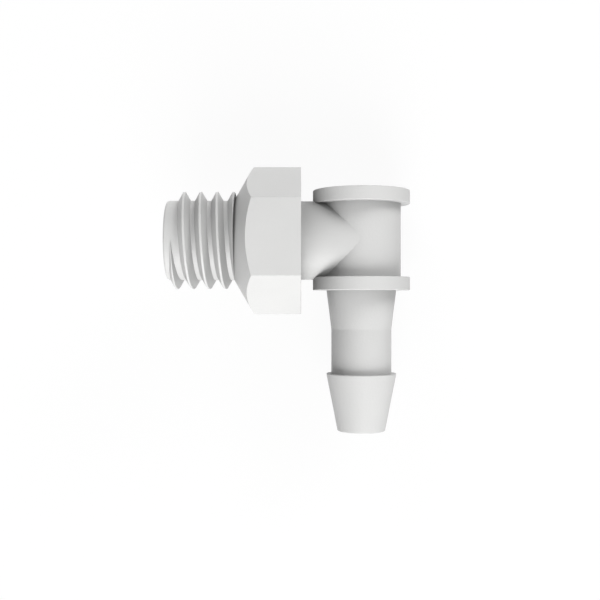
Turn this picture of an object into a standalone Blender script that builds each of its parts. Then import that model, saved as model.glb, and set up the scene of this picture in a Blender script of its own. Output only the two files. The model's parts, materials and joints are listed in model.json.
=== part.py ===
"""Moulded elbow fitting for soft tubing: a threaded shank with a hexagon, turning a
right angle in a round body into a neck with one hose barb.

It lies as it comes to rest on a bench: on the lower edge of its hexagon and on the
rims of its two discs, with the threaded end a little raised. Seen from above, the
threaded leg points along -X and the barbed leg along -Y. Everything is modelled
about the point where the axes of the two legs cross, on an empty that is then
tilted and moved. The world origin is under the middle of the fitting's box, at the
height of the bench.
"""

from math import acos, atan2, ceil, cos, hypot, pi, radians, sin, tan

import bmesh
import bpy
from mathutils import Vector

MM = 0.001

# Threaded shank: an M6 thread with the 60 degree form, on a plain moulded pilot.
THREAD_MAJOR_DIAMETER = 5.97 * MM
THREAD_PITCH = 1.00 * MM
THREAD_LENGTH = 4.10 * MM
THREAD_ANGLE = radians(60)
# Plain length between the shank's end and the foot of the ridge at its full height.
PILOT_LENGTH = 0.17 * MM
# The ridge starts at this angle, in turns from +Y towards +Z, and fades in.
RUN_IN_START = 0.25
RUN_IN_TURNS = 0.25
SHANK_END_RADIUS = 0.13 * MM

# Hexagon for the spanner, turned to a cone where it meets the thread.
HEX_ACROSS_FLATS = 7.86 * MM
HEX_LENGTH = 4.09 * MM
# The cone's slope from a plane square to the thread's axis.
HEX_CHAMFER_ANGLE = radians(30)
HEX_TO_ELBOW_AXIS = 3.71 * MM

# Round elbow: the boss is a hair thinner than the body, so that the two meet in a
# mitre with one clean edge.
BODY_DIAMETER = 4.84 * MM
BOSS_STEP = 0.01 * MM
BODY_LENGTH = 4.49 * MM
DISC_DIAMETER = 5.96 * MM
DISC_THICKNESS = 0.82 * MM
DISC_EDGE_RADIUS = 0.04 * MM

# Barbed leg, from the lower disc down.
NECK_ROOT_DIAMETER = 4.28 * MM
NECK_DIAMETER = 3.69 * MM
NECK_TAPER_LENGTH = 2.38 * MM
NECK_STRAIGHT_LENGTH = 2.72 * MM
BARB_DIAMETER = 4.31 * MM
BARB_TIP_DIAMETER = 2.91 * MM
BARB_LENGTH = 3.55 * MM
BARB_EDGE_RADIUS = 0.04 * MM
BARB_TIP_RADIUS = 0.09 * MM

# The two core pins that form the bore: each is widest at its mouth and round at its
# inner end.
THREAD_BORE_MOUTH_DIAMETER = 2.45 * MM
THREAD_BORE_DIAMETER = 2.35 * MM
BARB_BORE_MOUTH_DIAMETER = 2.30 * MM
BARB_BORE_DIAMETER = 2.20 * MM

# How far a shape reaches into its neighbour before they are joined or cut.
OVERLAP = 0.25 * MM
# Depth under the shank's surface from which the ridge rises where it fades in.
RIDGE_SINK = 0.05 * MM

# Facets of a full circle, and of a rounded corner.
CIRCLE_STEPS = 60
BORE_STEPS = 40
CORNER_STEPS = 2
BORE_END_STEPS = 6
# How far a round shape is turned, in facets, so that its edges never cross those of
# the round shapes that it meets.
QUARTER_FACET = 0.25
HALF_FACET = 0.5

# Edges sharper than this stay sharp when the fitting is shaded.
SHARP_ANGLE = radians(28)
# Points of a turned outline that lie nearer than this to its axis become one.
MERGE_DISTANCE = 0.00001 * MM

NYLON_COLOUR = (0.81, 0.81, 0.80, 1)
NYLON_ROUGHNESS = 0.38
NYLON_IOR = 1.53

# The thread's form: the ridge is an eighth of the pitch wide at its crest and three
# quarters at its foot, which leaves a quarter of the pitch flat at the root.
RIDGE_CREST_WIDTH = THREAD_PITCH / 8
RIDGE_FOOT_WIDTH = THREAD_PITCH * 3 / 4
FLANK_SLOPE = tan(THREAD_ANGLE / 2)
THREAD_DEPTH = (RIDGE_FOOT_WIDTH - RIDGE_CREST_WIDTH) / 2 / FLANK_SLOPE
SHANK_RADIUS = THREAD_MAJOR_DIAMETER / 2 - THREAD_DEPTH

# Places along the threaded leg, and heights along the barbed leg, from the crossing
# of the axes.
HEX_FACE_X = -HEX_TO_ELBOW_AXIS
CONE_FOOT_X = HEX_FACE_X - HEX_LENGTH
SHANK_END_X = CONE_FOOT_X - THREAD_LENGTH
BODY_TOP_Y = BODY_LENGTH / 2
DISC_TOP_Y = BODY_TOP_Y + DISC_THICKNESS
NECK_ROOT_Y = -DISC_TOP_Y
NECK_TAPER_END_Y = NECK_ROOT_Y - NECK_TAPER_LENGTH
BARB_SHOULDER_Y = NECK_TAPER_END_Y - NECK_STRAIGHT_LENGTH
TIP_Y = BARB_SHOULDER_Y - BARB_LENGTH
HEX_CORNER_RADIUS = HEX_ACROSS_FLATS / 2 / cos(pi / 6)

# The threaded leg rises by this angle when the hexagon's lower edge, on the side of
# the boss, and the discs' rims touch one plane.
LYING_TILT = acos(
    DISC_DIAMETER / 2 / hypot(HEX_TO_ELBOW_AXIS, HEX_ACROSS_FLATS / 2)
) - atan2(HEX_TO_ELBOW_AXIS, HEX_ACROSS_FLATS / 2)


def clear_scene():
    for obj in list(bpy.data.objects):
        bpy.data.objects.remove(obj, do_unlink=True)


def new_collection(name):
    collection = bpy.data.collections.new(name)
    bpy.context.scene.collection.children.link(collection)
    return collection


def crossing_of_axes(collection):
    """The empty at the crossing of the two legs' axes, which carries every shape."""
    empty = bpy.data.objects.new("crossing_of_axes", None)
    empty.empty_display_size = BODY_DIAMETER / 2
    empty.rotation_euler.y = LYING_TILT
    collection.objects.link(empty)
    return empty


def add_object(name, mesh, collection, parent):
    obj = bpy.data.objects.new(name, mesh)
    obj.parent = parent
    collection.objects.link(obj)
    return obj


def make_helper(obj):
    """Marks a shape that is joined to the fitting or cut from it, and never rendered."""
    obj.hide_render = True
    obj.display_type = "WIRE"


def rounded_outline(corners):
    """The points of an outline given as (radius, height, corner radius)."""
    points = []
    for index, (radius, height, fillet) in enumerate(corners):
        corner = Vector((radius, height))
        if fillet == 0:
            points.append(corner)
            continue
        back = (Vector(corners[index - 1][:2]) - corner).normalized()
        ahead = (Vector(corners[index + 1][:2]) - corner).normalized()
        half_angle = back.angle(ahead) / 2
        centre = corner + (back + ahead).normalized() * (fillet / sin(half_angle))
        spoke = corner + back * (fillet / tan(half_angle)) - centre
        sweep = (pi - 2 * half_angle) * (1 if back.cross(ahead) < 0 else -1)
        for step in range(CORNER_STEPS + 1):
            turn = sweep * step / CORNER_STEPS
            points.append(
                centre
                + Vector(
                    (
                        spoke.x * cos(turn) - spoke.y * sin(turn),
                        spoke.x * sin(turn) + spoke.y * cos(turn),
                    )
                )
            )
    return points


def turned(name, outline, steps, facet_shift, collection, parent):
    """A solid turned about its own Z axis from an outline that runs down its side."""
    start = 2 * pi * facet_shift / steps
    points = [(r * cos(start), r * sin(start), z) for r, z in outline]
    edges = [(i, i + 1) for i in range(len(outline) - 1)]
    mesh = bpy.data.meshes.new(name)
    mesh.from_pydata(points, edges, [])
    obj = add_object(name, mesh, collection, parent)
    screw = obj.modifiers.new("Turn", "SCREW")
    screw.axis = "Z"
    screw.steps = steps
    screw.render_steps = steps
    screw.use_merge_vertices = True
    screw.merge_threshold = MERGE_DISTANCE
    return obj


def combine(obj, other, operation):
    boolean = obj.modifiers.new(f"{operation.title()} {other.name}", "BOOLEAN")
    boolean.operation = operation
    boolean.solver = "EXACT"
    boolean.object = other
    make_helper(other)


def body_and_barb(collection, parent):
    """The barbed leg in one turning: both discs, the body, the neck and the barb."""
    disc = DISC_DIAMETER / 2
    body = BODY_DIAMETER / 2
    corners = [
        (0, DISC_TOP_Y, 0),
        (disc, DISC_TOP_Y, DISC_EDGE_RADIUS),
        (disc, BODY_TOP_Y, DISC_EDGE_RADIUS),
        (body, BODY_TOP_Y, 0),
        (body, -BODY_TOP_Y, 0),
        (disc, -BODY_TOP_Y, DISC_EDGE_RADIUS),
        (disc, NECK_ROOT_Y, DISC_EDGE_RADIUS),
        (NECK_ROOT_DIAMETER / 2, NECK_ROOT_Y, 0),
        (NECK_DIAMETER / 2, NECK_TAPER_END_Y, 0),
        (NECK_DIAMETER / 2, BARB_SHOULDER_Y, 0),
        (BARB_DIAMETER / 2, BARB_SHOULDER_Y, BARB_EDGE_RADIUS),
        (BARB_TIP_DIAMETER / 2, TIP_Y, BARB_TIP_RADIUS),
        (0, TIP_Y, 0),
    ]
    outline = rounded_outline(corners)
    leg = turned("body_and_barb", outline, CIRCLE_STEPS, 0, collection, parent)
    leg.rotation_euler.x = -pi / 2
    return leg


def boss(collection, parent):
    """The short tube between the hexagon and the body."""
    radius = BODY_DIAMETER / 2 - BOSS_STEP
    start_x = HEX_FACE_X - OVERLAP
    outline = [(0, 0), (radius, 0), (radius, start_x), (0, start_x)]
    tube = turned("boss", outline, CIRCLE_STEPS, QUARTER_FACET, collection, parent)
    tube.rotation_euler.y = pi / 2
    return tube


def hexagon_turning(collection, parent):
    """What the lathe would leave of the hexagon: a cone that opens from the shank."""
    cone_rise = tan(HEX_CHAMFER_ANGLE)
    inner_radius = SHANK_RADIUS - OVERLAP
    inner_x = CONE_FOOT_X - OVERLAP * cone_rise
    outer_radius = HEX_CORNER_RADIUS + OVERLAP
    outer_x = CONE_FOOT_X + (outer_radius - SHANK_RADIUS) * cone_rise
    past_face_x = HEX_FACE_X + OVERLAP
    outline = [
        (0, past_face_x),
        (outer_radius, past_face_x),
        (outer_radius, outer_x),
        (inner_radius, inner_x),
        (0, inner_x),
    ]
    cone = turned(
        "hexagon_turning", outline, CIRCLE_STEPS, HALF_FACET, collection, parent
    )
    cone.rotation_euler.y = pi / 2
    return cone


def hexagon(collection, parent):
    """The spanner hexagon, with a corner at +Y and its thread end turned to a cone."""
    start_x = CONE_FOOT_X - OVERLAP
    bm = bmesh.new()
    bmesh.ops.create_cone(
        bm,
        cap_ends=True,
        segments=6,
        radius1=HEX_CORNER_RADIUS,
        radius2=HEX_CORNER_RADIUS,
        depth=HEX_FACE_X - start_x,
    )
    mesh = bpy.data.meshes.new("hexagon")
    bm.to_mesh(mesh)
    bm.free()
    prism = add_object("hexagon", mesh, collection, parent)
    prism.rotation_euler.y = pi / 2
    prism.location.x = (start_x + HEX_FACE_X) / 2
    combine(prism, hexagon_turning(collection, parent), "INTERSECT")
    return prism


def shank(collection, parent):
    """The plain core of the thread, rounded at its end."""
    corners = [
        (0, CONE_FOOT_X + OVERLAP, 0),
        (SHANK_RADIUS, CONE_FOOT_X + OVERLAP, 0),
        (SHANK_RADIUS, SHANK_END_X, SHANK_END_RADIUS),
        (0, SHANK_END_X, 0),
    ]
    outline = rounded_outline(corners)
    core = turned("shank", outline, CIRCLE_STEPS, 0, collection, parent)
    core.rotation_euler.y = pi / 2
    return core


def ridge_section(turns, centre_x, growth):
    """The corners of the ridge's section, at an angle in turns from +Y towards +Z.

    The section grows from a point a little under the shank's surface, so that the
    ridge rises out of it. Its foot lies deeper still, inside the shank.
    """
    pivot_radius = SHANK_RADIUS - RIDGE_SINK
    crest_radius = pivot_radius + (THREAD_DEPTH + RIDGE_SINK) * growth
    foot_radius = pivot_radius - OVERLAP
    crest_half = RIDGE_CREST_WIDTH / 2 * growth
    foot_half = (RIDGE_FOOT_WIDTH / 2 + RIDGE_SINK * FLANK_SLOPE) * growth
    angle = 2 * pi * turns
    outline = [
        (centre_x - foot_half, foot_radius),
        (centre_x - foot_half, pivot_radius),
        (centre_x - crest_half, crest_radius),
        (centre_x + crest_half, crest_radius),
        (centre_x + foot_half, pivot_radius),
        (centre_x + foot_half, foot_radius),
    ]
    return [(x, radius * cos(angle), radius * sin(angle)) for x, radius in outline]


def thread_ridge(collection, parent):
    """The right-hand thread's ridge, lofted along a helix.

    It fades in from the plain pilot, and ends where the hexagon's cone covers it.
    """
    full_x = SHANK_END_X + PILOT_LENGTH + RIDGE_FOOT_WIDTH / 2
    start_x = full_x - RUN_IN_TURNS * THREAD_PITCH
    end_x = CONE_FOOT_X + RIDGE_FOOT_WIDTH
    sections = ceil((end_x - start_x) / THREAD_PITCH * CIRCLE_STEPS)
    bm = bmesh.new()
    previous = None
    for index in range(1, sections + 1):
        turns = (index + QUARTER_FACET) / CIRCLE_STEPS
        growth = min(turns / RUN_IN_TURNS, 1)
        centre_x = start_x + turns * THREAD_PITCH
        corners = ridge_section(RUN_IN_START + turns, centre_x, growth)
        ring = [bm.verts.new(corner) for corner in corners]
        if previous is None:
            bm.faces.new(ring)
        else:
            for side, vert in enumerate(ring):
                bm.faces.new((previous[side], previous[side - 1], ring[side - 1], vert))
        previous = ring
    bm.faces.new(reversed(previous))
    bmesh.ops.triangulate(bm, faces=bm.faces)
    bmesh.ops.recalc_face_normals(bm, faces=bm.faces)
    mesh = bpy.data.meshes.new("thread_ridge")
    bm.to_mesh(mesh)
    bm.free()
    return add_object("thread_ridge", mesh, collection, parent)


def threaded_leg(collection, parent):
    """The shank with its thread, the hexagon and the boss, joined in this order."""
    leg = shank(collection, parent)
    for shape in (thread_ridge, hexagon, boss):
        combine(leg, shape(collection, parent), "UNION")
    return leg


def core_pin(name, mouth_radius, inner_radius, length, collection, parent):
    """A tapered pin with a round inner end at its own origin, pointing down from it."""
    quarter = [pi / 2 * step / BORE_END_STEPS for step in range(BORE_END_STEPS)]
    dome = [(inner_radius * sin(a), inner_radius * cos(a)) for a in quarter]
    stem = [
        (inner_radius, 0),
        (mouth_radius, -length),
        (mouth_radius, -length - OVERLAP),
        (0, -length - OVERLAP),
    ]
    return turned(name, dome + stem, BORE_STEPS, QUARTER_FACET, collection, parent)


def thread_bore(collection, parent):
    pin = core_pin(
        "thread_bore_pin",
        THREAD_BORE_MOUTH_DIAMETER / 2,
        THREAD_BORE_DIAMETER / 2,
        -SHANK_END_X,
        collection,
        parent,
    )
    pin.rotation_euler.y = pi / 2
    return pin


def barb_bore(collection, parent):
    pin = core_pin(
        "barb_bore_pin",
        BARB_BORE_MOUTH_DIAMETER / 2,
        BARB_BORE_DIAMETER / 2,
        -TIP_Y,
        collection,
        parent,
    )
    pin.rotation_euler.x = -pi / 2
    return pin


def white_nylon():
    material = bpy.data.materials.new("moulded white nylon")
    material.use_nodes = True
    shader = material.node_tree.nodes["Principled BSDF"]
    shader.inputs["Base Color"].default_value = NYLON_COLOUR
    shader.inputs["Roughness"].default_value = NYLON_ROUGHNESS
    shader.inputs["Metallic"].default_value = 0
    shader.inputs["IOR"].default_value = NYLON_IOR
    return material


def finish(obj, material):
    """Applies the modifiers and shades the result smooth between its real edges."""
    bpy.context.view_layer.update()
    graph = bpy.context.evaluated_depsgraph_get()
    mesh = bpy.data.meshes.new_from_object(obj.evaluated_get(graph))
    mesh.name = obj.name
    obj.modifiers.clear()
    obj.data = mesh
    mesh.materials.clear()
    mesh.materials.append(material)
    mesh.shade_smooth()
    mesh.set_sharp_from_angle(angle=SHARP_ANGLE)


def lay_on_bench(obj, carrier):
    """Moves the carrier so that the object touches z = 0 with its box over the origin."""
    bpy.context.view_layer.update()
    corners = [obj.matrix_world @ vert.co for vert in obj.data.vertices]
    lows = [min(axis) for axis in zip(*corners)]
    highs = [max(axis) for axis in zip(*corners)]
    middle_x = (lows[0] + highs[0]) / 2
    middle_y = (lows[1] + highs[1]) / 2
    carrier.location = (-middle_x, -middle_y, -lows[2])


def main():
    clear_scene()
    parts = new_collection("elbow_fitting")
    shapes = new_collection("elbow_fitting_shapes")
    centre = crossing_of_axes(parts)
    fitting = body_and_barb(parts, centre)
    fitting.name = "elbow_fitting"
    combine(fitting, threaded_leg(shapes, centre), "UNION")
    for pin in (thread_bore, barb_bore):
        combine(fitting, pin(shapes, centre), "DIFFERENCE")
    finish(fitting, white_nylon())
    lay_on_bench(fitting, centre)


main()
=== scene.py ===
# %% [markdown]
# # A moulded elbow fitting for soft tubing
#
# The real object is 16 millimetres of white nylon, injection moulded in one piece. A
# threaded shank with a hexagon screws into an instrument, and a hose barb at a right
# angle to it holds a soft tube. This lesson starts from the finished CAD model, which
# stays in its place for the physics, and builds a finer copy of the same sizes with
# the surface of the real plastic. Then it lights and frames it.

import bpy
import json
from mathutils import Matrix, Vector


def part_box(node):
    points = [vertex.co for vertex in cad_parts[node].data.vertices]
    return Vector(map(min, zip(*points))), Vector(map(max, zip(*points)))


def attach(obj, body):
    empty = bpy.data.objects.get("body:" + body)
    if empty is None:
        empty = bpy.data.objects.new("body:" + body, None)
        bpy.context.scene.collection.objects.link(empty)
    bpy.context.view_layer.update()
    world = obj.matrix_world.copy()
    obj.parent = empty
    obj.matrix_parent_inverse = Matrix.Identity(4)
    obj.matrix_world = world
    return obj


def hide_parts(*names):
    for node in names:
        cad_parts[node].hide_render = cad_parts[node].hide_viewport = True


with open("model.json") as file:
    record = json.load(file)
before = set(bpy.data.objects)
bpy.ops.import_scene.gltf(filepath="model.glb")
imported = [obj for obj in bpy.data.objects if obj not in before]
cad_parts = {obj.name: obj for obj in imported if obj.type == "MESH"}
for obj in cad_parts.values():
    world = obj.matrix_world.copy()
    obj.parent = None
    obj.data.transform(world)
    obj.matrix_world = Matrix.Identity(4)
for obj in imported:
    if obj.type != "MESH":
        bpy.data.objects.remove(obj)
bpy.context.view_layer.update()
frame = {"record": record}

# %% The libraries, and a unit
import json
from math import atan2, cos, degrees, hypot, pi, radians, sin, tan

import bmesh
import bpy
import numpy as np
from mathutils import Matrix, Vector

MM = 0.001
print("Blender", bpy.app.version_string, "works in metres, so 1 mm is", MM)

# %% [markdown]
# ## Where the fitting lies
#
# The fitting lies on the edge of its hexagon and on the rims of its two discs, so
# the threaded leg rises by about 13 degrees. It is far easier to model it upright,
# about the point where the axes of its two legs cross, and to turn it at the end.
# The CAD record tells where that point is: the top disc's mount lies on the barbed
# leg's axis, and the mount of the hexagon's upper flat lies over the threaded leg's.
# That flat is tilted as the fitting is.

# %% Read the crossing of the axes and the tilt from the record
mounts = {mount["name"]: mount for mount in frame["record"]["mounts"]}
flat_axis = mounts["upper_flat"]["axis"]
lying_tilt = atan2(flat_axis[0], flat_axis[2])
crossing = Vector(mounts["top_disc"]["pos_m"])
crossing.y = mounts["upper_flat"]["pos_m"][1]
LAID_DOWN = Matrix.Translation(crossing) @ Matrix.Rotation(lying_tilt, 4, "Y")
print(f"tilt {degrees(lying_tilt):.2f} degrees, axes cross at {tuple(crossing)}")

# %% [markdown]
# ## The camera
#
# The photograph looks square down on the plane of the two legs, from close by: the
# far ends of the round discs show as curves. A pinhole camera 945 pixels away, with
# 16.23 pixels to the millimetre, gives that perspective. Its view is straight, and
# the fitting sits off its centre, so the place is given from the crossing of the
# axes and then laid down with the fitting.

# %% Place the camera
PIXELS = 600
PIXELS_PER_MM = 16.23
DISTANCE_PIXELS = 945
CROSSING_RIGHT_PIXELS = 61.28
CROSSING_UP_PIXELS = 59.37

camera_data = bpy.data.cameras.new("camera")
camera_data.lens = camera_data.sensor_width * DISTANCE_PIXELS / PIXELS
camera_data.clip_start = 1 * MM
camera = bpy.data.objects.new("camera", camera_data)
bpy.context.scene.collection.objects.link(camera)
in_front = Vector((-CROSSING_RIGHT_PIXELS, -CROSSING_UP_PIXELS, DISTANCE_PIXELS))
camera.matrix_world = LAID_DOWN @ Matrix.Translation(in_front / PIXELS_PER_MM * MM)
bpy.context.scene.camera = camera
print(f"lens {camera_data.lens:.1f} mm, {in_front.z / PIXELS_PER_MM:.1f} mm above the axes")

# %% [markdown]
# ## A helper for nodes
#
# Materials and Geometry Nodes are built in code here. One small function adds a
# node, sets its properties, and gives each input a value or a link.

# %% Define the helper
def add_node(tree, kind, settings, inputs):
    """A new node with these properties, and with each input's value or link."""
    node = tree.nodes.new(kind)
    for name, value in settings.items():
        setattr(node, name, value)
    for name, value in inputs.items():
        if isinstance(value, bpy.types.NodeSocket):
            tree.links.new(value, node.inputs[name])
        else:
            node.inputs[name].default_value = value
    return node


# %% [markdown]
# ## The finish: moulded white nylon
#
# Nylon (polyamide 66) comes out of a steel mould with a satin skin. The mould's
# cavity is spark eroded, which leaves a fine even grain, and the plastic shows it
# as a soft, slightly broken highlight. Where the two halves of the mould meet, a
# hair of plastic stands proud all round the plane of the legs. The white is
# neutral, a little cloudy where the melt flowed, and its gloss changes with it.

# %% Turn written sRGB colours to linear ones
def linear(hex_colour):
    """A written sRGB colour as linear red, green and blue, and an alpha of 1."""
    # The numbers are the sRGB standard's own.
    values = [int(hex_colour[start : start + 2], 16) / 255 for start in (1, 3, 5)]
    low = 0.04045
    return [v / 12.92 if v <= low else ((v + 0.055) / 1.055) ** 2.4 for v in values] + [1]


print(f"the written grey #808080 is {linear('#808080')[0]:.3f} in linear light")

# %% Start the nylon
NYLON_IOR = 1.53
# The grain breaks up the gloss at a flat angle, so the edges stay dull.
SPECULAR_LEVEL = 0.36

nylon = bpy.data.materials.new("moulded white nylon")
nylon.use_nodes = True
tree = nylon.node_tree
shader = tree.nodes["Principled BSDF"]
shader.inputs["IOR"].default_value = NYLON_IOR
shader.inputs["Specular IOR Level"].default_value = SPECULAR_LEVEL
shader.inputs["Metallic"].default_value = 0
place = add_node(tree, "ShaderNodeTexCoord", {}, {}).outputs["Object"]
print(f"material {nylon.name!r} with an index of refraction of {NYLON_IOR}")

# %% Give it its colour, with painted shade in its corners, and its gloss
CLOUD_SIZE = 2.5 * MM
CORNER_REACH = 4 * MM
CORNER_SAMPLES = 8
# Under 1, the painted shade is only in the corners themselves.
PAINTED_SHADE_SPREAD = 0.4
SMOOTHEST = 0.39
ROUGHEST = 0.46

clouds = add_node(
    tree, "ShaderNodeTexNoise", {}, {"Vector": place, "Scale": 1 / CLOUD_SIZE, "Detail": 2}
).outputs["Fac"]
unshaded_colour = add_node(
    tree,
    "ShaderNodeMix",
    {"data_type": "RGBA"},
    {0: clouds, 6: linear("#DEDEDD"), 7: linear("#E4E4E3")},
).outputs[2]
# Painted shade: the colour is darkened where the faces are sheltered, deepest in corners and
# recesses, and the open faces keep the unshaded colour.
shelter = add_node(
    tree,
    "ShaderNodeAmbientOcclusion",
    {"samples": CORNER_SAMPLES, "only_local": True},
    {"Distance": CORNER_REACH},
).outputs["AO"]
painted_shade_factor = add_node(
    tree, "ShaderNodeMath", {"operation": "POWER"}, {0: shelter, 1: PAINTED_SHADE_SPREAD}
).outputs["Value"]
# Painted shade: a mix towards the dark grey #6C6C6B, by how sheltered the point is.
colour = add_node(
    tree,
    "ShaderNodeMix",
    {"data_type": "RGBA"},
    {0: painted_shade_factor, 6: linear("#6C6C6B"), 7: unshaded_colour},
)
tree.links.new(colour.outputs[2], shader.inputs["Base Color"])
gloss = add_node(
    tree,
    "ShaderNodeMapRange",
    {},
    {"Value": clouds, "To Min": SMOOTHEST, "To Max": ROUGHEST},
)
tree.links.new(gloss.outputs["Result"], shader.inputs["Roughness"])
print(f"roughness {SMOOTHEST} to {ROUGHEST}, in clouds of {CLOUD_SIZE / MM} mm")

# %% Give it its parting line and its grain
# Real spark erosion has grains of about 0.03 mm. They are drawn five times as
# coarse here, or they would be finer than a pixel.
GRAIN_SIZE = 0.15 * MM
GRAIN_DEPTH = 0.01 * MM
PARTING_LINE_HALF_WIDTH = 0.05 * MM
PARTING_LINE_HEIGHT = 0.01 * MM

# The mould parts in the plane of the legs, which is tilted with the fitting.
upright = add_node(
    tree,
    "ShaderNodeMapping",
    {"vector_type": "TEXTURE"},
    {"Vector": place, "Location": crossing, "Rotation": (0, lying_tilt, 0)},
).outputs["Vector"]
axes = add_node(tree, "ShaderNodeSeparateXYZ", {}, {"Vector": upright})
from_parting = add_node(
    tree, "ShaderNodeMath", {"operation": "ABSOLUTE"}, {0: axes.outputs["Z"]}
).outputs["Value"]
parting_line = add_node(
    tree,
    "ShaderNodeMapRange",
    {"interpolation_type": "SMOOTHSTEP"},
    {
        "Value": from_parting,
        "From Max": PARTING_LINE_HALF_WIDTH,
        "To Min": PARTING_LINE_HEIGHT / GRAIN_DEPTH,
        "To Max": 0,
    },
).outputs["Result"]
grain = add_node(
    tree, "ShaderNodeTexNoise", {}, {"Vector": place, "Scale": 1 / GRAIN_SIZE, "Detail": 3}
).outputs["Fac"]
relief = add_node(
    tree, "ShaderNodeMath", {"operation": "ADD"}, {0: grain, 1: parting_line}
).outputs["Value"]
bump = add_node(
    tree, "ShaderNodeBump", {}, {"Height": relief, "Strength": 1, "Distance": GRAIN_DEPTH}
)
tree.links.new(bump.outputs["Normal"], shader.inputs["Normal"])
print(f"{len(tree.nodes)} nodes, grain drawn {GRAIN_SIZE / MM} mm coarse")

# %% [markdown]
# ## Turned shapes
#
# Nearly every surface of the fitting is one that a lathe could turn: the discs, the
# body, the neck and the barb about one axis, and the shank, the boss and the
# hexagon's cone about the other. Each is an outline of corners, some of them
# rounded, that the Screw modifier turns. Every face is then tagged with the axis it
# was turned about, because the shading at the end needs it, and the modifier's
# result becomes a plain mesh in its place.

# %% Round the corners of an outline
CORNER_STEPS = 5


def rounded_outline(corners):
    """The points of an outline given as (radius, height, corner radius) in mm."""
    points = []
    for index, (radius, height, fillet) in enumerate(corners):
        corner = Vector((radius, height))
        if fillet == 0:
            points.append(corner)
            continue
        back = (Vector(corners[index - 1][:2]) - corner).normalized()
        ahead = (Vector(corners[index + 1][:2]) - corner).normalized()
        half_angle = back.angle(ahead) / 2
        centre = corner + (back + ahead).normalized() * (fillet / sin(half_angle))
        spoke = corner + back * (fillet / tan(half_angle)) - centre
        sweep = (pi - 2 * half_angle) * (1 if back.cross(ahead) < 0 else -1)
        for step in range(CORNER_STEPS + 1):
            turn = Matrix.Rotation(sweep * step / CORNER_STEPS, 2)
            points.append(centre + turn @ spoke)
    return points


print("a rounded corner becomes", CORNER_STEPS + 1, "points")

# %% Make objects, turn their modifiers into plain meshes, and tag their faces
# What a face was turned about. A flat face of the hexagon isn't turned at all.
NOT_TURNED, THREAD_AXIS, BARB_AXIS, HELIX = range(4)


def new_object(name, mesh):
    """An object in the scene, with this mesh or lamp."""
    obj = bpy.data.objects.new(name, mesh)
    bpy.context.scene.collection.objects.link(obj)
    return obj


def made_plain(obj, moved_by=Matrix.Identity(4)):
    """Swaps an object's mesh for the one that its modifiers make, moved as asked."""
    graph = bpy.context.evaluated_depsgraph_get()
    mesh = bpy.data.meshes.new_from_object(obj.evaluated_get(graph))
    mesh.transform(moved_by)
    obj.modifiers.clear()
    obj.data = mesh
    return obj


def tagged(obj, tag):
    """Tags every face of an object with what it was turned about."""
    faces = obj.data.attributes.new("turned_about", "INT", "FACE")
    faces.data.foreach_set("value", [tag] * len(obj.data.polygons))
    return obj


# %% Turn an outline into a solid
CIRCLE_STEPS = 240
# The turning is done about Z. These bring Z to the axis of each leg.
TO_AXIS = {
    THREAD_AXIS: Matrix(((0, 0, 1, 0), (1, 0, 0, 0), (0, 1, 0, 0), (0, 0, 0, 1))),
    BARB_AXIS: Matrix(((0, 1, 0, 0), (0, 0, 1, 0), (1, 0, 0, 0), (0, 0, 0, 1))),
}
# Shapes about one axis are turned by different parts of a facet before they are
# joined or cut, because exact Booleans work best where no edges lie on each other.
QUARTER_FACET = 0.25
HALF_FACET = 0.5
# It is far less than any edge is long, so only what the turning closes is merged.
MERGE_DISTANCE = 0.00001 * MM


def turned(name, outline, axis, facet_shift=0, steps=CIRCLE_STEPS):
    """A solid turned from an outline in mm. facet_shift turns it by parts of a facet."""
    start = 2 * pi * facet_shift / steps
    points = [Vector((r * cos(start), r * sin(start), z)) * MM for r, z in outline]
    mesh = bpy.data.meshes.new(name)
    mesh.from_pydata(points, [(i, i + 1) for i in range(len(points) - 1)], [])
    obj = new_object(name, mesh)
    screw = obj.modifiers.new("turn", "SCREW")
    screw.steps = screw.render_steps = steps
    screw.use_merge_vertices = True
    screw.merge_threshold = MERGE_DISTANCE
    return tagged(made_plain(obj, TO_AXIS[axis]), axis)


print(f"a full turn has {CIRCLE_STEPS} facets of {360 / CIRCLE_STEPS} degrees")

# %% [markdown]
# ## The barbed leg
#
# A tube is pushed over the barb and up the neck until it meets the lower disc. The
# barb's shoulder is sharp, because it bites. The upper disc closes the body. All of
# it is one turning, with corners as small as a mould leaves them.

# %% Turn the barbed leg
DISC_RADIUS = 5.96 / 2
BODY_RADIUS = 4.84 / 2
BODY_TOP = 4.49 / 2
DISC_TOP = BODY_TOP + 0.82
DISC_EDGE = 0.05
NECK_ROOT_RADIUS = 4.28 / 2
NECK_RADIUS = 3.69 / 2
NECK_TAPER_END = -DISC_TOP - 2.38
NECK_BEND = 1.0
BARB_RADIUS = 4.31 / 2
BARB_SHOULDER = NECK_TAPER_END - 2.72
BARB_EDGE = 0.04
TIP_RADIUS = 2.91 / 2
TIP = BARB_SHOULDER - 3.55
TIP_EDGE = 0.09

barbed_leg = turned(
    "elbow_fitting_moulded",
    rounded_outline(
        [
            (0, DISC_TOP, 0),
            (DISC_RADIUS, DISC_TOP, DISC_EDGE),
            (DISC_RADIUS, BODY_TOP, DISC_EDGE),
            (BODY_RADIUS, BODY_TOP, 0),
            (BODY_RADIUS, -BODY_TOP, 0),
            (DISC_RADIUS, -BODY_TOP, DISC_EDGE),
            (DISC_RADIUS, -DISC_TOP, DISC_EDGE),
            (NECK_ROOT_RADIUS, -DISC_TOP, 0),
            (NECK_RADIUS, NECK_TAPER_END, NECK_BEND),
            (NECK_RADIUS, BARB_SHOULDER, 0),
            (BARB_RADIUS, BARB_SHOULDER, BARB_EDGE),
            (TIP_RADIUS, TIP, TIP_EDGE),
            (0, TIP, 0),
        ]
    ),
    BARB_AXIS,
)
print("barbed leg:", len(barbed_leg.data.polygons), "faces")

# %% [markdown]
# ## The threaded leg's plain shapes
#
# The shank is the thread's core. The boss is the short tube that meets the round
# body in a mitre, and it is a hair thinner than the body, so that their meeting has
# one clean edge. Both are turned.

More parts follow.
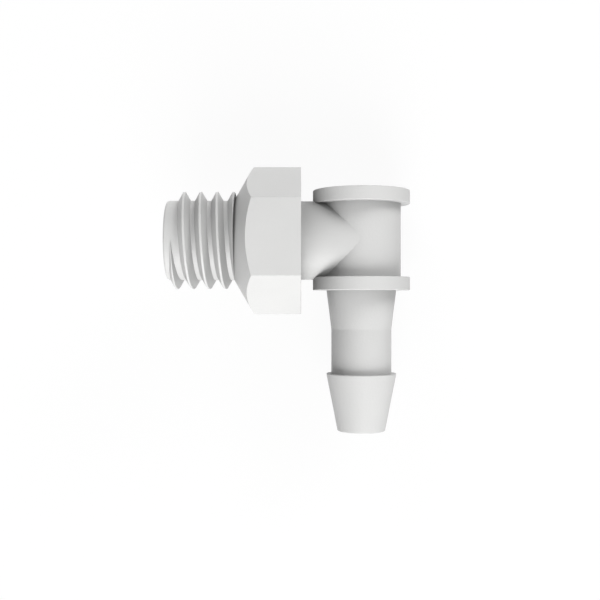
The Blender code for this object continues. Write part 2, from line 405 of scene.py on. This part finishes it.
# %% Turn the shank and the boss
MAJOR_RADIUS = 5.97 / 2
PITCH = 1.00
CREST_WIDTH = PITCH / 8
FOOT_WIDTH = PITCH * 3 / 4
# Each flank leans by this from square to the axis, so there are 60 degrees between two.
FLANK_ANGLE = radians(30)
THREAD_DEPTH = (FOOT_WIDTH - CREST_WIDTH) / 2 / tan(FLANK_ANGLE)
SHANK_RADIUS = MAJOR_RADIUS - THREAD_DEPTH
HEX_FACE = -3.71
CONE_FOOT = HEX_FACE - 4.09
SHANK_END = CONE_FOOT - 4.10
SHANK_EDGE = 0.13
BOSS_STEP = 0.01
BOSS_RADIUS = BODY_RADIUS - BOSS_STEP
# How far a shape reaches into its neighbour before the two are joined or cut.
OVERLAP = 0.25

shank = turned(
    "shank",
    rounded_outline(
        [
            (0, CONE_FOOT + OVERLAP, 0),
            (SHANK_RADIUS, CONE_FOOT + OVERLAP, 0),
            (SHANK_RADIUS, SHANK_END, SHANK_EDGE),
            (0, SHANK_END, 0),
        ]
    ),
    THREAD_AXIS,
)
boss_start = HEX_FACE - OVERLAP
boss = turned(
    "boss",
    [(0, 0), (BOSS_RADIUS, 0), (BOSS_RADIUS, boss_start), (0, boss_start)],
    THREAD_AXIS,
    facet_shift=QUARTER_FACET,
)
print(f"thread {THREAD_DEPTH:.3f} mm deep on a core of {2 * SHANK_RADIUS:.2f} mm")

# %% [markdown]
# ## The hexagon
#
# A spanner holds the fitting by its hexagon. Towards the thread its corners are
# turned away to a cone, which cuts each flat in an arc. That arc comes by itself
# when a six-sided bar is intersected with a turned cone, just as a lathe cuts it.

# %% Make a six-sided bar with eased edges
ACROSS_FLATS = 7.86
HEX_CORNER_RADIUS = ACROSS_FLATS / 2 / cos(pi / 6)
HEX_EDGE = 0.04
HEX_EDGE_STEPS = 3
ROUND_PROFILE = 0.5
# create_cone puts a corner on Y. Brought to X, it will be at the picture's top.
CORNER_TO_X = Matrix.Rotation(pi / 2, 4, "Z")

bar = bmesh.new()
bmesh.ops.create_cone(
    bar,
    cap_ends=True,
    segments=6,
    radius1=HEX_CORNER_RADIUS * MM,
    radius2=HEX_CORNER_RADIUS * MM,
    depth=(HEX_FACE - CONE_FOOT + OVERLAP) * MM,
    matrix=TO_AXIS[THREAD_AXIS]
    @ Matrix.Translation((0, 0, (HEX_FACE + CONE_FOOT - OVERLAP) / 2 * MM))
    @ CORNER_TO_X,
)
bmesh.ops.bevel(
    bar,
    geom=bar.edges[:],
    offset=HEX_EDGE * MM,
    segments=HEX_EDGE_STEPS,
    profile=ROUND_PROFILE,
    affect="EDGES",
)
hexagon_mesh = bpy.data.meshes.new("hexagon")
bar.to_mesh(hexagon_mesh)
bar.free()
hexagon = tagged(new_object("hexagon", hexagon_mesh), NOT_TURNED)
print(f"bar {ACROSS_FLATS} mm across its flats, {2 * HEX_CORNER_RADIUS:.2f} across its corners")

# %% Intersect the bar with a turned cone
CONE_ANGLE = radians(30)
CONE_RISE = tan(CONE_ANGLE)


def boolean(obj, other, operation):
    """Joins, cuts or intersects an object with another one, which is then removed."""
    modifier = obj.modifiers.new(operation.lower(), "BOOLEAN")
    modifier.operation = operation
    modifier.solver = "EXACT"
    modifier.object = other
    made_plain(obj)
    bpy.data.objects.remove(other)


core_radius = SHANK_RADIUS - OVERLAP
rim_radius = HEX_CORNER_RADIUS + OVERLAP
cone = turned(
    "hexagon_cone",
    [
        (0, HEX_FACE + OVERLAP),
        (rim_radius, HEX_FACE + OVERLAP),
        (rim_radius, CONE_FOOT + (rim_radius - SHANK_RADIUS) * CONE_RISE),
        (core_radius, CONE_FOOT - OVERLAP * CONE_RISE),
        (0, CONE_FOOT - OVERLAP * CONE_RISE),
    ],
    THREAD_AXIS,
    facet_shift=HALF_FACET,
)
boolean(hexagon, cone, "INTERSECT")
print("hexagon:", len(hexagon.data.polygons), "faces")

# %% [markdown]
# ## The thread
#
# The thread is a ridge that follows a helix, so Geometry Nodes make it: a spiral
# curve, swept with a trapezoid. The trapezoid is an eighth of the pitch wide at its
# crest and three quarters at its foot, with flanks at 60 degrees, and its crest is a
# little rounded. The real thread doesn't start at once. It grows out of a plain
# pilot within a quarter of a turn, which the Scale input of Curve to Mesh does.

# %% Start the tree and name its sizes
ridge_tree = bpy.data.node_groups.new("thread_ridge", "GeometryNodeTree")
ridge_tree.interface.new_socket("Geometry", in_out="OUTPUT", socket_type="NodeSocketGeometry")
ridge_inputs = {
    "Pivot Radius": "NodeSocketFloat",
    "Pitch": "NodeSocketFloat",
    "Turns": "NodeSocketFloat",
    "Steps per Turn": "NodeSocketInt",
    "Crest Width": "NodeSocketFloat",
    "Foot Width": "NodeSocketFloat",
    "Height": "NodeSocketFloat",
    "Crest Edge": "NodeSocketFloat",
    "Run-in Turns": "NodeSocketFloat",
    "Run-in Scale": "NodeSocketFloat",
    "Run-in Shift": "NodeSocketFloat",
    "Material": "NodeSocketMaterial",
}
for name, kind in ridge_inputs.items():
    ridge_tree.interface.new_socket(name, in_out="INPUT", socket_type=kind)
given = add_node(ridge_tree, "NodeGroupInput", {}, {}).outputs
print("the tree asks for", ", ".join(ridge_inputs))

# %% Draw the helix
ridge_length = add_node(
    ridge_tree, "ShaderNodeMath", {"operation": "MULTIPLY"}, {0: given["Turns"], 1: given["Pitch"]}
)
# A right-hand thread: without Reverse, the spiral climbs the other way round.
spiral = add_node(
    ridge_tree,
    "GeometryNodeCurveSpiral",
    {},
    {
        "Resolution": given["Steps per Turn"],
        "Rotations": given["Turns"],
        "Start Radius": given["Pivot Radius"],
        "End Radius": given["Pivot Radius"],
        "Height": ridge_length.outputs["Value"],
        "Reverse": True,
    },
)
# With these normals the swept section stays in a plane through the thread's axis.
steady = add_node(
    ridge_tree, "GeometryNodeSetCurveNormal", {"mode": "Z_UP"}, {"Curve": spiral.outputs["Curve"]}
)
print("the helix comes from", spiral.bl_label)

# %% Draw the section, with its foot on the helix and its crest outwards
CREST_EDGE_STEPS = 3

section = add_node(
    ridge_tree,
    "GeometryNodeCurvePrimitiveQuadrilateral",
    {"mode": "TRAPEZOID"},
    {
        "Bottom Width": given["Foot Width"],
        "Top Width": given["Crest Width"],
        "Height": given["Height"],
        "Offset": 0,
    },
)
half_height = add_node(
    ridge_tree, "ShaderNodeMath", {"operation": "MULTIPLY"}, {0: given["Height"], 1: 0.5}
)
rise = add_node(ridge_tree, "ShaderNodeCombineXYZ", {}, {"Y": half_height.outputs["Value"]})
on_foot = add_node(
    ridge_tree,
    "GeometryNodeTransform",
    {},
    {"Geometry": section.outputs["Curve"], "Translation": rise.outputs["Vector"]},
)
pointing_out = add_node(
    ridge_tree,
    "GeometryNodeTransform",
    {},
    {"Geometry": on_foot.outputs["Geometry"], "Rotation": (0, 0, -pi / 2)},
)
eased = add_node(
    ridge_tree,
    "GeometryNodeFilletCurve",
    {"mode": "POLY"},
    {
        "Curve": pointing_out.outputs["Geometry"],
        "Count": CREST_EDGE_STEPS,
        "Radius": given["Crest Edge"],
    },
)
print("the section comes from", section.bl_label)

# %% Let the ridge grow and lean at its start
along = add_node(ridge_tree, "GeometryNodeSplineParameter", {}, {})
run_in = add_node(
    ridge_tree,
    "ShaderNodeMath",
    {"operation": "DIVIDE"},
    {0: given["Run-in Turns"], 1: given["Turns"]},
)
growth = add_node(
    ridge_tree,
    "ShaderNodeMapRange",
    {},
    {
        "Value": along.outputs["Factor"],
        "From Max": run_in.outputs["Value"],
        "To Min": given["Run-in Scale"],
        "To Max": 1,
    },
)
# The ridge grows out of its inner side, so its start is shifted along the axis.
shift = add_node(
    ridge_tree,
    "ShaderNodeMapRange",
    {"interpolation_type": "SMOOTHSTEP"},
    {
        "Value": along.outputs["Factor"],
        "From Max": run_in.outputs["Value"],
        "To Min": given["Run-in Shift"],
        "To Max": 0,
    },
)
inwards = add_node(ridge_tree, "ShaderNodeCombineXYZ", {}, {"Z": shift.outputs["Result"]})
shifted = add_node(
    ridge_tree,
    "GeometryNodeSetPosition",
    {},
    {"Geometry": steady.outputs["Curve"], "Offset": inwards.outputs["Vector"]},
)
print(f"{len(ridge_tree.nodes)} nodes so far")

# %% Sweep the section along the helix
swept = add_node(
    ridge_tree,
    "GeometryNodeCurveToMesh",
    {},
    {
        "Curve": shifted.outputs["Geometry"],
        "Profile Curve": eased.outputs["Curve"],
        "Scale": growth.outputs["Result"],
        "Fill Caps": True,
    },
)
realized = add_node(
    ridge_tree, "GeometryNodeRealizeInstances", {}, {"Geometry": swept.outputs["Mesh"]}
)
coated = add_node(
    ridge_tree,
    "GeometryNodeSetMaterial",
    {},
    {"Geometry": realized.outputs["Geometry"], "Material": given["Material"]},
)
add_node(ridge_tree, "NodeGroupOutput", {}, {0: coated.outputs["Geometry"]})
print(f"ridge tree with {len(ridge_tree.nodes)} nodes")

# %% Work out this thread's sizes
# The ridge reaches this far into the shank, so that the two join cleanly.
RIDGE_SINK = 0.05
CREST_EDGE = 0.03
PILOT_LENGTH = 0.17
RUN_IN_TURNS = 0.25
# The run-in starts just under the shank's surface.
RUN_IN_HEIGHT = 0.8 * RIDGE_SINK
RUN_IN_SHIFT = 0.15
# Where the ridge first has its full height, with its foot at the pilot's end.
full_start = SHANK_END + PILOT_LENGTH + FOOT_WIDTH / 2
ridge_start = full_start - RUN_IN_TURNS * PITCH
# The sweep runs on a little too far at its other end, and is cut to its length below.
ridge_end = CONE_FOOT + FOOT_WIDTH
ridge_turns = (ridge_end - ridge_start) / PITCH
values = {
    "Pivot Radius": (SHANK_RADIUS - RIDGE_SINK) * MM,
    "Pitch": PITCH * MM,
    "Turns": ridge_turns,
    "Steps per Turn": CIRCLE_STEPS,
    "Crest Width": CREST_WIDTH * MM,
    "Foot Width": (FOOT_WIDTH + 2 * RIDGE_SINK * tan(FLANK_ANGLE)) * MM,
    "Height": (THREAD_DEPTH + RIDGE_SINK) * MM,
    "Crest Edge": CREST_EDGE * MM,
    "Run-in Turns": RUN_IN_TURNS,
    "Run-in Scale": RUN_IN_HEIGHT / (THREAD_DEPTH + RIDGE_SINK),
    "Run-in Shift": RUN_IN_SHIFT * MM,
    "Material": nylon,
}
print(f"{ridge_turns:.2f} turns from {ridge_start:.2f} to {ridge_end:.2f} mm along the axis")

# %% Run the tree and place the ridge
# The ridge starts a quarter of a turn from the picture's top, on the camera's side.
RUN_IN_START = 0.25
# Like the turned shapes, it is turned by its own part of a facet.
RIDGE_FACET = 0.3

ridge = new_object("thread_ridge", bpy.data.meshes.new("thread_ridge"))
ridge_modifier = ridge.modifiers.new("thread_ridge", "NODES")
ridge_modifier.node_group = ridge_tree
for socket in ridge_tree.interface.items_tree:
    if socket.in_out == "INPUT":
        ridge_modifier[socket.identifier] = values[socket.name]
made_plain(
    ridge,
    Matrix.Translation((ridge_start * MM, 0, 0))
    @ TO_AXIS[THREAD_AXIS]
    @ Matrix.Rotation(2 * pi * (RUN_IN_START + RIDGE_FACET / CIRCLE_STEPS), 4, "Z"),
)
tagged(ridge, HELIX)
reach = [hypot(point.co.y, point.co.z) / MM for point in ridge.data.vertices]
print(f"from {min(reach):.3f} to {max(reach):.3f} mm from the axis")

# %% Cut the ridge to its length
# The mould's thread stops in a plane, just before the cone would have covered it.
PAST_CONE_FOOT = 0.08
thread_stop = CONE_FOOT + PAST_CONE_FOOT
kept_length = turned(
    "kept_length",
    [(0, thread_stop), (rim_radius, thread_stop), (rim_radius, SHANK_END), (0, SHANK_END)],
    THREAD_AXIS,
    facet_shift=HALF_FACET,
)
boolean(ridge, kept_length, "INTERSECT")
print("ridge:", len(ridge.data.polygons), "faces")

# %% [markdown]
# ## Joining the shapes and cutting the bore
#
# A moulding has no seams, so the shapes are joined to one closed surface by exact
# Booleans. Two core pins leave the bore: one along each leg, each a little wider at
# its mouth, so that it can be drawn out, and round at its inner end.

# %% Join the solids
for shape in (ridge, hexagon, boss):
    boolean(shank, shape, "UNION")
boolean(barbed_leg, shank, "UNION")
print("joined:", len(barbed_leg.data.polygons), "faces")

# %% Cut the two halves of the bore
THREAD_BORE_MOUTH = 2.45 / 2
THREAD_BORE_INNER = 2.35 / 2
BARB_BORE_MOUTH = 2.30 / 2
BARB_BORE_INNER = 2.20 / 2
PIN_STEPS = 96
DOME_STEPS = 12


def core_pin(name, mouth_radius, inner_radius, end, axis):
    """A pin with a dome at its inner end. Its mouth is where the leg ends."""
    quarter = [pi / 2 * step / DOME_STEPS for step in range(DOME_STEPS)]
    dome = [(inner_radius * sin(a), inner_radius * cos(a)) for a in quarter]
    past = end - OVERLAP
    stem = [(inner_radius, 0), (mouth_radius, end), (mouth_radius, past), (0, past)]
    return turned(name, dome + stem, axis, facet_shift=QUARTER_FACET, steps=PIN_STEPS)


for pin in (
    core_pin("thread_bore", THREAD_BORE_MOUTH, THREAD_BORE_INNER, SHANK_END, THREAD_AXIS),
    core_pin("barb_bore", BARB_BORE_MOUTH, BARB_BORE_INNER, TIP, BARB_AXIS),
):
    boolean(barbed_leg, pin, "DIFFERENCE")
print("bored:", len(barbed_leg.data.polygons), "faces")

# %% Measure the whole fitting
fitting = barbed_leg
check = bmesh.new()
check.from_mesh(fitting.data)
open_edges = sum(not edge.is_manifold for edge in check.edges)
print(f"volume {check.calc_volume() / MM ** 3:.1f} cubic mm, {open_edges} open edges")
check.free()

# %% [markdown]
# ## Exact shading
#
# Smooth shading averages the faces round a point, and where a Boolean leaves long
# thin slivers it goes wrong. Here each face knows the axis that it was turned about,
# so its true normal at each of its corners is known too: the face's own normal,
# swung round that axis to the corner. Faces of the same turning that meet at a
# shallow angle are then blended by area, so that the small roundings run into the
# large surfaces, and every real edge stays crisp.

# %% Read a number or a vector of every item of a mesh
def every(items, name, kind, width=1):
    """The value, or the vector of this width, of every item, as an array."""
    values = np.empty(len(items) * width, kind)
    items.foreach_get(name, values)
    return values if width == 1 else values.reshape(-1, width).astype(float)


print("corners to shade:", len(every(fitting.data.loops, "vertex_index", np.int32)))


# %% Blend the normals of like faces that meet at a point at a shallow angle
BLEND_ANGLE = radians(32)


def blended(normal, corner_point, tag, area):
    """Each corner's normal, blended by area with those of like faces at its point."""
    order = np.argsort(corner_point, kind="stable")
    total = np.bincount(corner_point)
    first = np.concatenate(([0], np.cumsum(total)[:-1]))
    meeting = total[corner_point]
    one = np.repeat(np.arange(len(corner_point)), meeting)
    step = np.arange(len(one)) - np.repeat(np.cumsum(meeting) - meeting, meeting)
    other = order[first[corner_point[one]] + step]
    alike = (tag[one] == tag[other]) & (
        np.einsum("ij,ij->i", normal[one], normal[other]) > cos(BLEND_ANGLE)
    )
    mixed = np.zeros_like(normal)
    weight = (area[other] * alike)[:, None]
    np.add.at(mixed, one, normal[other] * weight)
    return mixed / np.linalg.norm(mixed, axis=1, keepdims=True)


# %% Swing each face's normal round its axis to the face's corners
# A normal that slopes by less than this lies along the axis, and a point that is
# nearer than this is on it. Neither can be swung.
LEAST_SLOPE = 0.001
LEAST_RADIUS = 0.01 * MM


def swung_normals(mesh):
    """The exact normal at each corner of each face, in the upright frame."""
    corner_point = every(mesh.loops, "vertex_index", np.int32)
    place = every(mesh.vertices, "co", np.float32, 3)[corner_point]
    count = every(mesh.polygons, "loop_total", np.int32)
    face_of = np.repeat(np.arange(len(count)), count)
    tag = every(mesh.attributes["turned_about"].data, "value", np.int32)[face_of]
    area = every(mesh.polygons, "area", np.float32)[face_of]
    centre = every(mesh.polygons, "center", np.float32, 3)[face_of]
    normal = every(mesh.polygons, "normal", np.float32, 3)[face_of]
    for turned_tag, axis in ((THREAD_AXIS, 0), (BARB_AXIS, 1), (HELIX, 0)):
        chosen = tag == turned_tag
        u, v = (axis + 1) % 3, (axis + 2) % 3
        # A helix's normal leans along it, so its face is placed by its centre. Any
        # other face is placed by its normal, which a cut doesn't change.
        source = centre if turned_tag == HELIX else normal
        old = np.arctan2(source[chosen, v], source[chosen, u])
        inward = np.zeros(len(old))
        if turned_tag != HELIX:
            outward = (
                normal[chosen, u] * centre[chosen, u] + normal[chosen, v] * centre[chosen, v]
            )
            inward = np.where(outward < 0, pi, 0)
        new = np.arctan2(place[chosen, v], place[chosen, u]) + inward
        swing = new - old
        flat = np.hypot(normal[chosen, u], normal[chosen, v]) < LEAST_SLOPE
        on_axis = np.hypot(place[chosen, u], place[chosen, v]) < LEAST_RADIUS
        swing[flat | on_axis] = 0
        old_u, old_v = normal[chosen, u].copy(), normal[chosen, v].copy()
        normal[chosen, u] = old_u * np.cos(swing) - old_v * np.sin(swing)
        normal[chosen, v] = old_u * np.sin(swing) + old_v * np.cos(swing)
    return blended(normal, corner_point, tag, area)


corner_normals = swung_normals(fitting.data)
print("normals for", len(corner_normals), "corners")

# %% [markdown]
# ## Laying the fitting down
#
# The mesh itself is turned and moved to where the CAD model lies, while its object stays at the
# origin. It takes the nylon, it is attached to the one body, and the CAD node is hidden.

# %% Lay it down and hand it over
mesh = fitting.data
mesh.name = fitting.name
mesh.transform(LAID_DOWN)
turn = np.array(LAID_DOWN.to_3x3())
mesh.materials.clear()
mesh.materials.append(nylon)
mesh.polygons.foreach_set("material_index", [0] * len(mesh.polygons))
mesh.attributes.remove(mesh.attributes["turned_about"])
mesh.shade_smooth()
mesh.normals_split_custom_set((corner_normals @ turn.T).tolist())

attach(fitting, "root")
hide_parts("elbow_fitting")
low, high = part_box("elbow_fitting")
print("box of the CAD node in mm:", [round(v / MM, 3) for v in (*low, *high)])

# %% [markdown]
# ## Deep corners
#
# White plastic lights its own corners, as light bounces from one face to the next.
# The photograph's corners are deeper than that. So light that has bounced once passes
# the fitting by, which every object has a switch for.

# %% Keep the corners deep
fitting.visible_diffuse = False
print("seen by bounced light:", fitting.visible_diffuse)

# %% [markdown]
# ## The floor
#
# The photograph has a plain white ground. The floor is a pale sheet at the height
# that the fitting lies on. To the camera, and in reflections, most of its white is
# its own light and the rest is what the lamps give it, so the fitting's soft shadow
# stays. To light that only bounces off it, it is a mid grey, as it would be if the
# fitting were held well clear of it.

# %% Lay the floor
FLOOR_SIZE = 4.0
floor_mesh = bpy.data.meshes.new("floor")
half = FLOOR_SIZE / 2
floor_mesh.from_pydata(
    [(-half, -half, 0), (half, -half, 0), (half, half, 0), (-half, half, 0)],
    [],
    [(0, 1, 2, 3)],
)
floor = new_object("floor", floor_mesh)
print(f"a floor of {FLOOR_SIZE} m by {FLOOR_SIZE} m")


# %% Tell what is seen directly
def seen_directly(tree):
    """1 for rays from the camera, a gloss or a glass, and 0 for all other light."""
    rays = add_node(tree, "ShaderNodeLightPath", {}, {}).outputs
    either = add_node(
        tree,
        "ShaderNodeMath",
        {"operation": "MAXIMUM"},
        {0: rays["Is Camera Ray"], 1: rays["Is Glossy Ray"]},
    )
    return add_node(
        tree,
        "ShaderNodeMath",
        {"operation": "MAXIMUM"},
        {0: either.outputs["Value"], 1: rays["Is Transmission Ray"]},
    ).outputs["Value"]


# %% Finish the floor as paper
# Away from the fitting the lamps' light gets weaker, and the floor's own makes up for it.
LIT_RADIUS = 0.1
UNLIT_RADIUS = 0.4
OWN_LIGHT_WHERE_LIT = 0.9
OWN_LIGHT_WHERE_UNLIT = 1

paper = bpy.data.materials.new("matt white paper")
paper.use_nodes = True
tree = paper.node_tree
tree.nodes.clear()
floor_place = add_node(tree, "ShaderNodeTexCoord", {}, {}).outputs["Object"]
from_middle = add_node(tree, "ShaderNodeVectorMath", {"operation": "LENGTH"}, {0: floor_place})
own_light = add_node(
    tree,
    "ShaderNodeMapRange",
    {},
    {
        "Value": from_middle.outputs["Value"],
        "From Min": LIT_RADIUS,
        "From Max": UNLIT_RADIUS,
        "To Min": OWN_LIGHT_WHERE_LIT,
        "To Max": OWN_LIGHT_WHERE_UNLIT,
    },
)
glow = add_node(
    tree,
    "ShaderNodeEmission",
    {},
    {"Color": linear("#FFFFFF"), "Strength": own_light.outputs["Result"]},
)
lit = add_node(tree, "ShaderNodeBsdfDiffuse", {}, {"Color": linear("#606060")})
shown = add_node(
    tree, "ShaderNodeAddShader", {}, {0: glow.outputs["Emission"], 1: lit.outputs["BSDF"]}
)
grey = add_node(tree, "ShaderNodeBsdfDiffuse", {}, {"Color": linear("#666666")})
mixed = add_node(
    tree,
    "ShaderNodeMixShader",
    {},
    {0: seen_directly(tree), 1: grey.outputs["BSDF"], 2: shown.outputs["Shader"]},
)
add_node(tree, "ShaderNodeOutputMaterial", {}, {"Surface": mixed.outputs["Shader"]})
floor_mesh.materials.append(paper)
print(f"material {paper.name!r} with {len(tree.nodes)} nodes")

# %% [markdown]
# ## The light
#
# A studio lights such a small white part with soft boxes that are large beside it,
# so that even their reflections in the satin plastic stay soft. Two of them stand
# one above the other on the side of the barb's tip and do most of the work. A third
# is low at the upper right of the picture, and a weak fourth at its upper left. They
# lift the faces that the first two miss, which gives the round shapes their form.
# Two of the four give no gloss, as if a polarising sheet were in front of them. With
# all their gloss, the flats of the hexagon would glare when they are seen from behind,
# and would vanish against the white ground. The world is a dim grey for the object and
# white for the eye.

# %% Set the lamps
LIGHT_DISTANCE = 0.3


def soft_box(name, azimuth, elevation, size, power, gloss):
    """A square lamp aimed at the fitting: degrees from +X to +Y and up, metres, watts."""
    lamp = bpy.data.lights.new(name, "AREA")
    lamp.size = size
    lamp.energy = power
    obj = new_object(name, lamp)
    a, e = radians(azimuth), radians(elevation)
    away = Vector((cos(e) * cos(a), cos(e) * sin(a), sin(e)))
    obj.location = crossing + away * LIGHT_DISTANCE
    obj.rotation_euler = away.to_track_quat("Z", "Y").to_euler()
    obj.visible_camera = False
    obj.visible_glossy = gloss
    print(f"{name}: {size / MM:.0f} mm wide, {power} W")


soft_box("key_barb_side", azimuth=-90, elevation=25, size=0.25, power=0.62, gloss=True)
soft_box("key_high", azimuth=-75, elevation=35, size=0.20, power=0.475, gloss=False)
soft_box("fill_right", azimuth=45, elevation=14, size=0.15, power=0.50, gloss=True)
soft_box("fill_far_left", azimuth=113, elevation=20, size=0.15, power=0.29, gloss=False)

# %% Set the world
WORLD_ON_OBJECT = 0.16
WORLD_TO_THE_EYE = 1

world = bpy.data.worlds.new("studio")
bpy.context.scene.world = world
world.use_nodes = True
tree = world.node_tree
tree.nodes.clear()
dim, white = (
    add_node(
        tree, "ShaderNodeBackground", {}, {"Color": linear("#FFFFFF"), "Strength": strength}
    )
    for strength in (WORLD_ON_OBJECT, WORLD_TO_THE_EYE)
)
sky = add_node(
    tree,
    "ShaderNodeMixShader",
    {},
    {0: seen_directly(tree), 1: dim.outputs["Background"], 2: white.outputs["Background"]},
)
add_node(tree, "ShaderNodeOutputWorld", {}, {"Surface": sky.outputs["Shader"]})
bpy.context.scene.view_settings.view_transform = "Standard"
print(f"world {world.name!r}: {WORLD_ON_OBJECT} on the object, {WORLD_TO_THE_EYE} to the eye")
